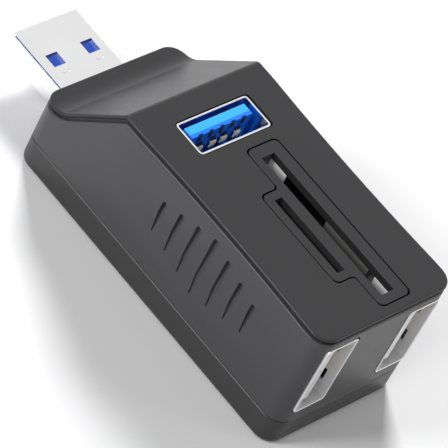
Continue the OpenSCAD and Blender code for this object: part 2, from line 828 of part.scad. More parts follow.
// Long card socket's steel cover: two ears at the mouth and the sheet below
module long_card_socket_cover() {
    y = long_y1;
    low = board_top + floor_h;
    color([0.8, 0.8, 0.82])
    union() {
        block([long_x0 - socket_side, y, low], [long_x1 + socket_side, y + card_sheet, socket_top - ear_h]);
        block([long_x0 - socket_side, y, low], [long_x0 + ear_l, y + card_sheet, socket_top]);
        block([long_x1 - ear_l, y, low], [long_x1 + socket_side, y + card_sheet, socket_top]);
    }
}

// Springs on the long socket's back
module long_card_socket_contacts() {
    pitch = (long_l - 2 * long_pin_x - fast_pin_w) / (long_pins - 1);
    color([0.85, 0.7, 0.35])
    for (i = [0:long_pins - 1])
        translate([long_x0 + long_pin_x + i * pitch, long_y, board_top + floor_h])
            cube([fast_pin_w, pin_t, long_pin_l]);
}

// Short card socket on the other face of the card board
module short_card_socket_base() {
    color([0.12, 0.12, 0.13])
    union() {
        block([short_x0 - socket_side, short_y1, board_top],
            [short_x1 + socket_side, card_board_y0, socket_top]);
        for (x = [short_x0 - socket_side, short_x1])
            block([x, short_y0, board_top], [x + socket_side, card_board_y0, socket_top]);
        block([short_x0 - socket_side, short_y0, board_top],
            [short_x1 + socket_side, card_board_y0, board_top + floor_h]);
    }
}

module short_card_socket_cover() {
    color([0.8, 0.8, 0.82])
    block([short_x0 - socket_side, short_y0 - card_sheet, board_top],
        [short_x1 + socket_side, short_y0, socket_top]);
}

// Springs on the short socket's back
module short_card_socket_contacts() {
    pitch = (short_l - 2 * short_pin_x - short_pin_w) / (short_pins - 1);
    color([0.85, 0.7, 0.35])
    for (i = [0:short_pins - 1])
        translate([short_x0 + short_pin_x + i * pitch, short_y1 - pin_t, board_top + floor_h])
            cube([short_pin_w, pin_t, short_pin_l]);
}

// Main board with its edge against the plug's block
module main_board() {
    color([0.05, 0.32, 0.16])
    block([board_x, -board_half, board_z], [board_end, board_half, board_top]);
}

module card_board() {
    color([0.05, 0.32, 0.16])
    block([long_x0 - socket_side, card_board_y0, board_top],
        [long_x1 + socket_side, card_board_y1, socket_top]);
}

// Pins that tie the card board to the main board
module board_link_pins() {
    color([0.85, 0.7, 0.35])
    for (i = [0:3])
        translate([long_x0 + link_in + i * link_pitch, card_board_y0 - link_l, board_top])
            cube([link_w, link_l, link_w]);
}

// Chip under the board, below the top socket
module hub_chip() {
    color([0.1, 0.1, 0.11])
    translate([top_port_mx - chip_l / 2, -chip_l / 2, board_z - chip_h]) cube([chip_l, chip_l, chip_h]);
}

// Chip under the board, below the card sockets
module card_reader_chip() {
    x = (long_x0 + long_x1) / 2;
    color([0.1, 0.1, 0.11])
    translate([x - reader_l / 2, -reader_l / 2, board_z - chip_h]) cube([reader_l, reader_l, chip_h]);
}

// Crystal beside the hub chip
module crystal() {
    color([0.8, 0.8, 0.8])
    translate([top_port_mx - crystal_size[0] / 2, -chip_l / 2 - part_gap - crystal_size[1],
        board_z - crystal_size[2]])
        cube(crystal_size);
}

module voltage_regulator() {
    color([0.1, 0.1, 0.11])
    translate([top_port_mx - regulator_size[0] / 2, board_half - part_gap - regulator_size[1], board_top])
        cube(regulator_size);
}

// Small capacitors in a row along each side of the card sockets
module capacitors() {
    color([0.7, 0.6, 0.45])
    for (i = [0:5], side = [0, 1])
        mirror([0, side, 0])
            translate([long_x0 + (i - 0.5) * capacitor_pitch, board_half - part_gap - 2 * capacitor_size[1],
                board_top])
                cube(capacitor_size);
}

top_cover();
body_shell();
base_cover();
card_slot_insert();
plug_shell();
plug_insulator();
plug_contacts();
plug_fast_contacts();
top_port_shell();
top_port_insulator();
top_port_contacts();
top_port_fast_contacts();
left_port_shell();
left_port_insulator();
left_port_contacts();
right_port_shell();
right_port_insulator();
right_port_contacts();
long_card_socket_base();
long_card_socket_cover();
long_card_socket_contacts();
short_card_socket_base();
short_card_socket_cover();
short_card_socket_contacts();
main_board();
card_board();
board_link_pins();
hub_chip();
card_reader_chip();
crystal();
voltage_regulator();
capacitors();
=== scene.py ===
"""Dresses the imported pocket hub: moulded housing, nickel plug and sockets, card slots and a pale stage."""

import json
import math

import bmesh
import bpy
import numpy as np
from mathutils import Matrix, Vector

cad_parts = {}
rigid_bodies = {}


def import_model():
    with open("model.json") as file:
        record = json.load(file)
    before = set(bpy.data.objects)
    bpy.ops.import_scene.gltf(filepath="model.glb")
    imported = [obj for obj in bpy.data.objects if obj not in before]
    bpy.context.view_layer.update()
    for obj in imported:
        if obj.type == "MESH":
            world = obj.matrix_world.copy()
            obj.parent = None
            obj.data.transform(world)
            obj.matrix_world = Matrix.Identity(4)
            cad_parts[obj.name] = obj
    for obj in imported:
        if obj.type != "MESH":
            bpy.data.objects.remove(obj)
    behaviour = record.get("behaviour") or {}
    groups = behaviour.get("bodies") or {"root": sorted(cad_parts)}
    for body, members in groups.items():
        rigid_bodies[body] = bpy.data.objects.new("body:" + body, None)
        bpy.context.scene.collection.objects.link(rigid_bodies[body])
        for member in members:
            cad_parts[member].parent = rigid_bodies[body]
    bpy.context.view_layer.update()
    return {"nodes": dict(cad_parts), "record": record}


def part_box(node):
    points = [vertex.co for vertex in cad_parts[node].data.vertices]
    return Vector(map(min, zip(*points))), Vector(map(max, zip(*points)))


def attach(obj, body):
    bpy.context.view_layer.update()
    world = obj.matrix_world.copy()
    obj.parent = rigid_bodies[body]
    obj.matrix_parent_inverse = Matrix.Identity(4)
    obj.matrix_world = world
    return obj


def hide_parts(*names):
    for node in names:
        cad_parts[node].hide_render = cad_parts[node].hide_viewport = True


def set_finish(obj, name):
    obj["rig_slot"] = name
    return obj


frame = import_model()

bl_info = {
    "name": "Pocket Hub",
    "version": (1, 0, 0),
    "blender": (4, 5, 0),
    "location": "View3D > Sidebar > Hub",
    "description": "Builds the outer shells, plug, sockets, finishes and stage of a pocket hub",
    "category": "Object",
}

MM = 0.001
COVER_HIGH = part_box("top_cover")[1]
BODY_LOW, BODY_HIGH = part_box("body_shell")
PLUG_LOW, PLUG_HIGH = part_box("plug_shell")
TOP_LOW, TOP_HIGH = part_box("top_port_shell")
LEFT_LOW, LEFT_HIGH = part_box("left_port_shell")
LONG_LOW, LONG_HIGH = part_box("long_card_socket_base")
SHORT_LOW, SHORT_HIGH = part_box("short_card_socket_base")

# Edges sharper than these angles, in degrees, stay crisp
SHARP_ANGLE = 32
EDGE_ANGLE = 30
BODY_ANGLE = 28


def length(name, millimetres, description):
    """A size of the object, held in metres."""
    return bpy.props.FloatProperty(
        name=name, description=description, default=millimetres * MM, unit="LENGTH", precision=5)


def tint(name, value, description):
    """A finish colour, in linear light."""
    return bpy.props.FloatVectorProperty(
        name=name, description=description, default=value, subtype="COLOR", size=3, min=0, max=1)


class HousingSizes(bpy.types.PropertyGroup):
    """Sizes of the three moulded shells."""
    corner: length("Corner", 2.6, "Radius of the upright corners")
    top_edge: length("Top edge", 0.3, "Radius of the top edges")
    base_edge: length("Base edge", 0.9, "Radius of the bottom edges")
    crisp: length("Crisp edge", 0.07, "Radius of the small moulded edges")
    body_edge: length("Body edge", 0.32, "Radius of the body's upper edge below the groove")
    wall: length("Wall", 1.6, "Thickness of the walls")
    floor: length("Floor", 1.4, "Thickness of the floor")
    nose_height: length("Nose height", 12.3, "Height of the low end")
    nose_length: length("Nose length", 13.0, "Distance from the plug end to the bend")
    slope: bpy.props.FloatProperty(
        name="Slope", description="Steepness of the sloped front", default=math.radians(46), subtype="ANGLE")
    cove: length("Cove", 4.0, "Radius of the hollow at the foot of the slope")
    bend: length("Bend", 1.0, "Radius of the bend at the head of the slope")
    lip: length("Lip", 0.68, "Thickness of the cover's visible edge")
    tuck: length("Tuck", 0.3, "How far the cover's edge draws in towards the groove")
    groove_width: length("Groove width", 0.4, "Width of the groove under the cover")
    groove_depth: length("Groove depth", 0.5, "Depth of the groove under the cover")
    seam_width: length("Seam width", 0.14, "Width of the low seam")
    seam_depth: length("Seam depth", 0.4, "Depth of the low seam")


class GripSizes(bpy.types.PropertyGroup):
    """Sizes of the grip grooves and of the finger hollow that they stand in."""
    count: bpy.props.IntProperty(name="Count", description="Grooves on each side", default=7, min=1)
    pitch: length("Pitch", 3.1, "Spacing of the grooves")
    along: length("Place", 6.15, "Place of the middle groove along the housing")
    height: length("Height", 13.8, "Height of the grooves' middle")
    longest: length("Longest", 11.0, "Length of the middle groove")
    shorter: length("Shorter", 1.8, "How much shorter each next groove is")
    width: length("Width", 1.05, "Width of the middle groove")
    narrower: length("Narrower", 0.08, "How much narrower each next groove is")
    point: length("Point", 3.4, "Length of a groove's pointed foot")
    foot_depth: length("Foot depth", 0.25, "Depth of a groove at its foot")
    depth: length("Depth", 0.85, "Depth of a groove at its upper end")
    hollow: length("Hollow", 0.4, "Depth of the finger hollow")
    hollow_length: length("Hollow length", 17.0, "Half the length of the finger hollow")
    hollow_foot: length("Hollow foot", 5.9, "Height of the hollow's foot under the middle groove")
    hollow_rise: length("Hollow rise", 6.7, "How much higher the hollow's foot is at its two ends")
    hollow_band: length("Hollow band", 3.4, "Height over which the hollow sinks in")


class PlugSizes(bpy.types.PropertyGroup):
    """Sizes of the plug and the socket sleeves."""
    sheet: length("Sheet", 0.3, "Sheet thickness of the sleeves")
    edge: length("Edge", 0.6, "Edge radius of the plug's sleeve")
    crisp: length("Crisp edge", 0.05, "Radius of a sleeve's cut edges")
    window_in: length("Window place", 5.2, "Distance from the mouth to the windows")
    window_long: length("Window length", 2.2, "Length of a window")
    window_wide: length("Window width", 2.1, "Width of a window")
    window_side: length("Window side", 3.2, "Distance from the middle to a window")
    crescent: length("Crescent", 0.7, "Radius of the stamped crescents")
    crescent_gap: length("Crescent gap", 0.9, "Distance from a window to its crescent")
    seam: length("Seam", 0.17, "Width of the folded seam along the sleeve")
    hole_gap: length("Hole gap", 0.16, "Gap between a sleeve and the housing")
    far_gap: length("Far gap", 0.36, "Gap between a sleeve and the housing on the far side")
    socket_edge: length("Socket edge", 0.6, "Corner radius of a socket's sleeve")
    spring_in: length("Spring place", 1.5, "Distance from a socket's mouth to its springs")
    spring_long: length("Spring length", 5.0, "Length of a spring cut-out")
    spring_wide: length("Spring width", 2.1, "Width of a spring cut-out")
    spring_side: length("Spring side", 2.95, "Distance from the middle to a spring")


class SlotSizes(bpy.types.PropertyGroup):
    """Sizes of the stepped slot plate."""
    radius: length("Radius", 0.9, "Corner radius of the plate")
    inner_radius: length("Inner radius", 0.7, "Radius of the plate's inner corners")
    gap: length("Gap", 0.22, "Gap round the plate")
    thick: length("Thickness", 1.25, "Thickness of the plate over the card sockets")
    side: length("Side", 0.5, "Thickness of the card sockets' sides")
    rim: length("Rim", 1.3, "Rim of the plate beside the slots")
    start_rim: length("Start rim", 1.85, "Rim of the plate before the long slot")
    stop_rim: length("Stop rim", 1.45, "Rim of the plate after the long slot")
    far_rim: length("Far rim", 1.85, "Rim of the plate beyond the long slot")
    long_near: length("Long slot near", 0.954, "Near edge of the long slot")
    long_wide: length("Long slot width", 2.35, "Width of the long slot")
    short_near: length("Short slot near", -2.296, "Near edge of the short slot")
    short_wide: length("Short slot width", 1.35, "Width of the short slot")


class FinishColours(bpy.types.PropertyGroup):
    """Colours of the finishes."""
    # The cover's charcoal and the body's slate stand for one plastic; the body's is set lighter, painted
    # light for the light on the sides.
    charcoal: tint("Charcoal", (0.03, 0.03, 0.032), "Cover and slot plate")
    painted_light_slate: tint("Painted light slate", (0.07, 0.07, 0.073), "Body")
    coal: tint("Coal", (0.05, 0.05, 0.052), "Base")
    nickel: tint("Nickel", (0.93, 0.93, 0.935), "Plug sleeve")
    socket_nickel: tint("Socket nickel", (0.9, 0.9, 0.91), "Socket sleeves")
    blue: tint("Blue", (0.002, 0.055, 0.42), "Plug tongue")
    royal_blue: tint("Royal blue", (0.01, 0.2, 1.0), "Sides of the top socket's tongue")
    # Painted shade: dark navy on the top socket's contacts below their bulge, where they lie in shade.
    painted_shade_navy: tint("Painted shade navy", (0.004, 0.012, 0.08), "Depth of the top socket")
    guide: tint("Guide", (0.16, 0.16, 0.15), "Guide wall of the long card socket")
    # Painted light: a lighter blue laid over the end face of the top socket's tongue, where light falls on
    # it.
    painted_light_blue: tint("Painted light blue", (0.04, 0.46, 1.0), "End of the top socket's tongue")
    white: tint("White", (0.88, 0.88, 0.87), "End sockets' tongues")
    black: tint("Black", (0.012, 0.012, 0.013), "Card socket plastic")
    gold: tint("Gold", (0.9, 0.72, 0.38), "Contacts")
    # Painted highlight: pale cream on the bulge of the top socket's contacts, where light catches them.
    painted_highlight_cream: tint("Painted highlight cream", (1.0, 0.93, 0.72), "Tips of the top socket's contacts")
    # Painted shade: the fast-data pads are coloured near black for the shade in their recesses.
    pad: tint("Painted shade pad", (0.02, 0.03, 0.05), "Fast-data pads of the top socket")
    steel: tint("Steel", (0.95, 0.95, 0.95), "Card socket covers")
    board: tint("Board", (0.01, 0.09, 0.04), "Circuit boards")
    epoxy: tint("Epoxy", (0.015, 0.015, 0.017), "Chips")
    ceramic: tint("Ceramic", (0.42, 0.3, 0.18), "Capacitors")


class StageSettings(bpy.types.PropertyGroup):
    """Camera and floor."""
    floor_colour: tint("Floor", (0.93, 0.93, 0.94), "Colour of the floor")
    camera_place: bpy.props.FloatVectorProperty(
        name="Camera", description="Place of the camera", subtype="XYZ", default=(0.17462, -0.32916, 0.37691))
    camera_right: bpy.props.FloatVectorProperty(
        name="Camera right", description="Direction to the picture's right", default=(0.6148, 0.7102, 0.3429))
    camera_down: bpy.props.FloatVectorProperty(
        name="Camera down", description="Direction to the picture's foot", default=(0.7143, -0.3171, -0.6239))
    focal: bpy.props.FloatProperty(
        name="Focal length", description="Lens of the camera in millimetres", default=315.77)
    sensor: bpy.props.FloatProperty(
        name="Sensor", description="Width of the camera's sensor in millimetres", default=36.0)


def sizes():
    """The property groups on the scene."""
    return bpy.context.scene.pocket_hub


# Outlines


def turn(centre, radius, first, last, steps):
    """Points along an arc, angles in degrees."""
    angles = [math.radians(first + (last - first) * i / steps) for i in range(steps + 1)]
    return [(centre[0] + radius * math.cos(a), centre[1] + radius * math.sin(a)) for a in angles]


def rounded(corners, steps=8):
    """Closed outline through (x, y, radius) corners, each replaced by its arc."""
    out = []
    for i, (x, y, r) in enumerate(corners):
        here = Vector((x, y))
        before = Vector(corners[i - 1][:2])
        after = Vector(corners[(i + 1) % len(corners)][:2])
        if r <= 0:
            out.append(tuple(here))
            continue
        u = (before - here).normalized()
        w = (after - here).normalized()
        half = u.angle(w) / 2
        middle = here + (u + w).normalized() * (r / math.sin(half))
        start = here + u * (r / math.tan(half)) - middle
        end = here + w * (r / math.tan(half)) - middle
        swing = math.pi - 2 * half
        for k in range(steps + 1):
            t = k / steps
            p = (start * math.sin(swing * (1 - t)) + end * math.sin(swing * t)) / math.sin(swing)
            out.append(tuple(middle + p))
    return out


def rounded_box(x0, y0, x1, y1, r, steps=8):
    """Closed outline of a box with four equal round corners."""
    return rounded([(x0, y0, r), (x1, y0, r), (x1, y1, r), (x0, y1, r)], steps)


class Housing:
    """Outer form of the housing: plan outline and side line."""

    CORNER_STEPS = 14
    ARC_STEPS = 14
    SIDE_STEP = 0.6 * MM
    CROWDED = 0.25 * SIDE_STEP
    CLEARANCE = 0.1 * MM
    LEAST_BEND = 0.1 * MM
    LEAST_CORNER = 0.2 * MM
    COVER_REACH = 6 * MM
    WALL_REACH = 8 * MM

    def __init__(self):
        self.size = sizes().housing
        self.x0 = BODY_LOW.x
        self.x1 = BODY_HIGH.x
        self.half = BODY_HIGH.y
        self.top = COVER_HIGH.z
        self.seam = BODY_LOW.z
        self.groove = self.size.lip + self.size.groove_width
        self.grips = sizes().grips
        self.stations = self.side_stations()

    def side_line(self, depth):
        """Side view of the top face, sunk by a depth at right angles to it."""
        s = self.size
        rise = self.top - s.nose_height
        slope = s.slope
        shift = (depth * math.tan(slope / 2), -depth)
        knee = (self.x0 + s.nose_length - rise / math.tan(slope) + shift[0], s.nose_height + shift[1])
        bend = (self.x0 + s.nose_length + shift[0], self.top + shift[1])
        far = self.x1 - self.x0
        line = rounded([
            (self.x0 - far, -far, 0), (self.x0 - far, knee[1], 0),
            (knee[0], knee[1], s.cove + depth), (bend[0], bend[1], max(s.bend - depth, self.LEAST_BEND)),
            (self.x1 + far, bend[1], 0), (self.x1 + far, -far, 0)], self.ARC_STEPS)
        return line[1:-1]

    def hollow(self, x, z):
        """How far a side is drawn in by the finger hollow."""
        g = self.grips
        along = ((x - g.along) / g.hollow_length) ** 2
        t = min(max((z - g.hollow_foot - g.hollow_rise * along) / g.hollow_band, 0.0), 1.0)
        return g.hollow * max(1.0 - along, 0.0) * t * t * (3 - 2 * t)

    def hollowed(self, x, y, z):
        """A point drawn in towards the middle by the finger hollow."""
        return (x, y - math.copysign(self.hollow(x, z), y), z)

    def side_stations(self):
        """Places along the long sides where the rings need a point."""
        start = self.x0 + self.size.corner
        end = self.x1 - self.size.corner
        bends = [p[0] for p in self.side_line(0) if start + self.CLEARANCE < p[0] < end]
        count = int((end - start) / self.SIDE_STEP)
        even = [start + (end - start) * i / count for i in range(1, count)]
        clear = [x for x in even if all(abs(x - b) > self.CROWDED for b in bends)]
        return sorted(bends + clear)

    def plan(self, inset):
        """Plan outline drawn in by an inset, as many points whatever the inset."""
        r = self.size.corner - inset
        cx0, cx1 = self.x0 + self.size.corner, self.x1 - self.size.corner
        cy = self.half - self.size.corner
        w = self.half - inset
        if r < self.LEAST_CORNER:
            r = self.LEAST_CORNER
            keep = inset + r
            cx0, cx1, cy = self.x0 + keep, self.x1 - keep, self.half - keep
        n = self.CORNER_STEPS
        return (
            turn((cx1, cy), r, 0, 90, n) + [(x, w) for x in reversed(self.stations)]
            + turn((cx0, cy), r, 90, 180, n) + turn((cx0, -cy), r, 180, 270, n)
            + [(x, -w) for x in self.stations] + turn((cx1, -cy), r, 270, 360, n))

    def sunk_ring(self, inset, depth):
        """Plan outline laid on the top face, sunk by a depth."""
        line = self.side_line(depth)
        xs, zs = [p[0] for p in line], [p[1] for p in line]
        return [self.hollowed(x, y, float(np.interp(x, xs, zs))) for x, y in self.plan(inset)]

    def level_ring(self, inset, z):
        """Plan outline at one height."""
        return [(x, y, z) for x, y in self.plan(inset)]

    def through_cover(self, x, y, t):
        """Place on a cutter that goes down through the top, with its lower end at t = 0."""
        return (x, y, self.top + (t - 0.5) * self.COVER_REACH)


def edge_pairs(radius, steps):
    """(inset, drop) pairs round a quarter edge, from the side onto the face."""
    angles = [math.pi / 2 * i / steps for i in range(steps + 1)]
    return [(radius * (1 - math.cos(a)), radius * (1 - math.sin(a))) for a in angles]


# Mesh making


def new_piece(name, mesh_code, slot, *nodes):
    """Object from a bmesh, riding on the one body in place of CAD nodes."""
    mesh = bpy.data.meshes.new(name)
    mesh_code.to_mesh(mesh)
    mesh_code.free()
    piece = bpy.data.objects.new(name, mesh)
    bpy.context.scene.collection.objects.link(piece)
    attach(piece, "root")
    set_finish(piece, slot)
    if nodes:
        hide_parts(*nodes)
    return piece


def skin(rings, closed=False):
    """Quads between rings of equal length. Caps join a ring's matched points across the width."""
    bm = bmesh.new()
    rows = [[bm.verts.new(p) for p in ring] for ring in rings]
    k = len(rows[0])
    pairs = list(zip(rows, rows[1:])) + ([(rows[-1], rows[0])] if closed else [])
    for a, b in pairs:
        for i in range(k):
            j = (i + 1) % k
            bm.faces.new((a[i], a[j], b[j], b[i]))
    if not closed:
        for row, upward in ((rows[0], False), (rows[-1], True)):
            for i in range(k // 2 - 1):
                quad = (row[i], row[i + 1], row[k - 2 - i], row[k - 1 - i])
                bm.faces.new(quad if upward else tuple(reversed(quad)))
    bmesh.ops.recalc_face_normals(bm, faces=bm.faces)
    return bm


def prism(bm, outline, place):
    """Closed prism in a bmesh: an outline swept between two placed copies."""
    low = [bm.verts.new(place(p[0], p[1], 0)) for p in outline]
    high = [bm.verts.new(place(p[0], p[1], 1)) for p in outline]
    n = len(outline)
    faces = [bm.faces.new(list(reversed(low))), bm.faces.new(high)]
    for i in range(n):
        j = (i + 1) % n
        faces.append(bm.faces.new((low[i], low[j], high[j], high[i])))
    bmesh.ops.recalc_face_normals(bm, faces=faces)


def block(bm, low, high):
    """Closed box between two corners."""
    outline = [(low[0], low[1]), (high[0], low[1]), (high[0], high[1]), (low[0], high[1])]
    prism(bm, outline, lambda x, y, t: (x, y, low[2] + (high[2] - low[2]) * t))


def settle(piece):
    """Applies the piece's modifiers to its mesh."""
    graph = bpy.context.evaluated_depsgraph_get()
    mesh = bpy.data.meshes.new_from_object(piece.evaluated_get(graph))
    piece.modifiers.clear()
    piece.data = mesh


def carve(piece, cutter_mesh):
    """Takes the closed forms of a bmesh out of the piece."""
    mesh = bpy.data.meshes.new("cutter")
    cutter_mesh.to_mesh(mesh)
    cutter_mesh.free()
    cutter = bpy.data.objects.new("cutter", mesh)
    bpy.context.scene.collection.objects.link(cutter)
    cut = piece.modifiers.new("cut", "BOOLEAN")
    cut.operation = "DIFFERENCE"
    cut.solver = "EXACT"
    cut.use_self = True
    cut.object = cutter
    settle(piece)
    bpy.data.objects.remove(cutter)


def soften(piece, width):
    """Rounds the piece's hard edges a little and shades it smooth."""
    bevel = piece.modifiers.new("edges", "BEVEL")
    bevel.width = width
    bevel.segments = 2
    bevel.limit_method = "ANGLE"
    bevel.angle_limit = math.radians(SHARP_ANGLE)
    bevel.use_clamp_overlap = True
    bevel.miter_outer = "MITER_ARC"
    shade(piece, SHARP_ANGLE)


def shade(piece, angle):
    """Shades the piece smooth, with edges sharper than an angle in degrees left crisp."""
    piece.data.shade_smooth()
    piece.data.set_sharp_from_angle(angle=math.radians(angle))
    normals = piece.modifiers.new("normals", "WEIGHTED_NORMAL")
    normals.keep_sharp = True
    normals.weight = 80


# Shader maths


class Wire:
    """A shader socket that takes Python's own operators."""

    def __init__(self, finish, socket):
        self.finish = finish
        self.socket = socket

    def maths(self, operation, first, second):
        """Adds a Math node for one operation."""
        return self.finish.node("Math", {"operation": operation}, {0: first, 1: second})

    def __add__(self, other):
        return self.maths("ADD", self, other)

    __radd__ = __add__

    def __mul__(self, other):
        return self.maths("MULTIPLY", self, other)

    __rmul__ = __mul__

    def __gt__(self, other):
        return self.maths("GREATER_THAN", self, other)

    def __lt__(self, other):
        return self.maths("LESS_THAN", self, other)


class Finish:
    """A node-based material under construction."""

    def __init__(self, name, world=False):
        owner = bpy.data.worlds.new(name) if world else bpy.data.materials.new(name)
        owner.use_nodes = True
        owner.node_tree.nodes.clear()
        self.owner = owner
        self.tree = owner.node_tree

    def node(self, kind, settings=None, sockets=None, output=0):
        """Adds a node: its settings first, then the values or links of its sockets."""
        made = self.tree.nodes.new("ShaderNode" + kind)
        for key, value in (settings or {}).items():
            setattr(made, key, value)
        for key, value in (sockets or {}).items():
            socket = made.inputs[key]
            if isinstance(value, Wire):
                self.tree.links.new(value.socket, socket)
            elif socket.type == "RGBA" and len(value) == 3:
                socket.default_value = (*value, 1)
            else:
                socket.default_value = value
        return Wire(self, made.outputs[output]) if made.outputs else None

    def place(self):
        """Place on the piece, in metres."""
        return self.node("TexCoord", output="Object")

    def noise(self, scale, detail=2.0, stretch=(1, 1, 1)):
        """Even noise about 0.5, with features of about 1 / scale metres."""
        spot = self.node("Mapping", {}, {"Vector": self.place(), "Scale": stretch})
        return self.node("TexNoise", {}, {"Vector": spot, "Scale": scale, "Detail": detail})

    def blend(self, factor, first, second):
        """Colour between two colours."""
        return self.node("Mix", {"data_type": "RGBA"}, {0: factor, 6: first, 7: second}, output=2)

    def bump(self, height, strength, distance):
        """Normal that shows a height as relief."""
        return self.node("Bump", {}, {"Height": height, "Strength": strength, "Distance": distance})

    def surface(self, sockets):
        """Principled surface wired to the output."""
        shader = self.node("BsdfPrincipled", {}, sockets)
        self.node("OutputMaterial", {}, {"Surface": shader})
        return self.owner


def lighter(colour, factor):
    """A colour times a factor, held within white."""
    return tuple(min(c * factor, 1.0) for c in colour)


def moulded_plastic(name, colour, roughness=0.34, grain=0.05):
    """Satin moulded plastic: fine spark-eroded grain and faint flow marks."""
    finish = Finish(name)
    flow = finish.noise(90, 2.0, (1, 2, 2))
    grain_height = finish.noise(5200, 2.0)
    tone = finish.blend(flow, lighter(colour, 0.94), lighter(colour, 1.06))
    rough = roughness - 0.04 + 0.08 * finish.noise(700, 3.0)
    return finish.surface({
        "Base Color": tone, "Roughness": rough, "Specular IOR Level": 0.35,
        "Normal": finish.bump(grain_height, grain, 0.05 * MM)})


def plated_sheet(name, colour, roughness, metal=1.0):
    """Plating over rolled sheet, with faint rolling lines and a little haze. Dull plating has less metal."""
    finish = Finish(name)
    lines = finish.noise(900, 3.0, (1, 14, 14))
    haze = finish.noise(160, 2.0)
    tone = finish.blend(haze, lighter(colour, 0.95), lighter(colour, 1.04))
    return finish.surface({
        "Base Color": tone, "Metallic": metal, "Roughness": roughness - 0.05 + 0.1 * lines,
        "Normal": finish.bump(lines, 0.03, 0.02 * MM)})


def glossy_plastic(name, colour, roughness=0.28):
    """Moulded connector plastic with a light sheen."""
    finish = Finish(name)
    cloud = finish.noise(400, 2.0)
    tone = finish.blend(cloud, lighter(colour, 0.9), lighter(colour, 1.1))
    return finish.surface({
        "Base Color": tone, "Roughness": roughness - 0.03 + 0.06 * cloud,
        "Normal": finish.bump(finish.noise(3000, 2.0), 0.03, 0.02 * MM)})


def two_tone(name, colour, band_colour, low, high, roughness):
    """Plastic or plating that takes another colour inside a box between two corners."""
    finish = Finish(name)
    inside = 1.0
    for axis, (first, last) in enumerate(zip(low, high)):
        place = finish.node("SeparateXYZ", {}, {"Vector": finish.place()}, output=axis)
        inside = (place > first) * (place < last) * inside
    tone = finish.blend(inside, colour, band_colour)
    return finish.surface({"Base Color": tone, "Roughness": roughness - 0.03 + 0.06 * finish.noise(400, 2.0)})


def tongue_with_painted_light(c):
    """Blue tongue of the top socket with painted light on its end face: a lighter blue there."""
    end, side = 0.05 * MM, 0.6 * MM
    low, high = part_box("top_port_insulator")
    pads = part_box("top_port_fast_contacts")[1]
    return two_tone(
        "blue plastic with painted light end", tuple(c.royal_blue), tuple(c.painted_light_blue), (low.x, low.y, high.z - end),
        (pads.x - side, high.y, high.z + end), 0.25)


def painted_light_tip_finish(c):
    """Contacts of the top socket, with a painted highlight, pale cream, where they bulge and painted shade,
    dark navy, below.
    """
    low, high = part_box("top_port_contacts")
    start, stop = 0.5 * MM, 1.7 * MM
    return two_tone(
        "contact tips with painted highlight and shade", tuple(c.painted_shade_navy), tuple(c.painted_highlight_cream), (low.x, low.y - MM, high.z - stop),
        (high.x + MM, high.y + MM, high.z - start), 0.35)


def circuit_board(name, colour):
    """Green mask over glass cloth, with faint tracks under it."""
    finish = Finish(name)
    cloth = finish.node(
        "TexWave", {"wave_type": "BANDS"}, {"Vector": finish.place(), "Scale": 700.0}, output="Fac")
    tracks = finish.node("TexBrick", {}, {
        "Vector": finish.place(), "Color1": (0, 0, 0), "Color2": (0.2, 0.2, 0.2), "Mortar": (1, 1, 1),
        "Scale": 260.0, "Mortar Size": 0.03})
    shade_of = finish.blend(cloth, lighter(colour, 0.85), lighter(colour, 1.1))
    tone = finish.blend(finish.node("SeparateColor", {}, {"Color": tracks}), shade_of, lighter(colour, 1.8))
    return finish.surface({
        "Base Color": tone, "Roughness": 0.35, "Normal": finish.bump(cloth, 0.05, 0.02 * MM)})


def finishes():
    """The finishes by record slot."""
    c = sizes().colours
    return {
        "cover_plastic": moulded_plastic("charcoal plastic", tuple(c.charcoal)),
        # Body plastic set lighter than the cover's: painted light on the sides
        "body_plastic": moulded_plastic("slate plastic", tuple(c.painted_light_slate)),
        "base_plastic": moulded_plastic("coal plastic", tuple(c.coal)),
        "insert_plastic": moulded_plastic("plate plastic", tuple(c.charcoal), 0.44),
        "nickel_plate": plated_sheet("bright nickel", tuple(c.nickel), 0.17),
        "socket_nickel": plated_sheet("socket nickel", tuple(c.socket_nickel), 0.34, 0.45),
        "blue_plastic": glossy_plastic("blue plastic", tuple(c.blue)),
        # Top socket's tongue, with painted light on its end face
        "painted_light_blue": tongue_with_painted_light(c),
        "white_plastic": glossy_plastic("white plastic", tuple(c.white)),
        "black_plastic": moulded_plastic("black plastic", tuple(c.black), 0.5),
        "gold_contacts": plated_sheet("gold flash", tuple(c.gold), 0.25),
        # Contacts of the top socket: painted highlight on the bulge, painted shade below
        "tips_with_painted_light_and_shade": painted_light_tip_finish(c),
        "guide_plastic": moulded_plastic("guide plastic", tuple(c.guide), 0.5),
        # Fast-data pads in painted shade
        "painted_shade_pads": plated_sheet("pads in painted shade", tuple(c.pad), 0.4, 0.2),
        "card_steel": plated_sheet("tinned steel", tuple(c.steel), 0.42, 0.0),
        "green_board": circuit_board("green board", tuple(c.board)),
        "chip_black": moulded_plastic("chip epoxy", tuple(c.epoxy), 0.6, 0.1),
        "ceramic_tan": glossy_plastic("fired ceramic", tuple(c.ceramic), 0.45),
    }


def dress(piece, material):
    """Gives the piece one material."""
    piece.data.materials.clear()
    piece.data.materials.append(material)


# Operators


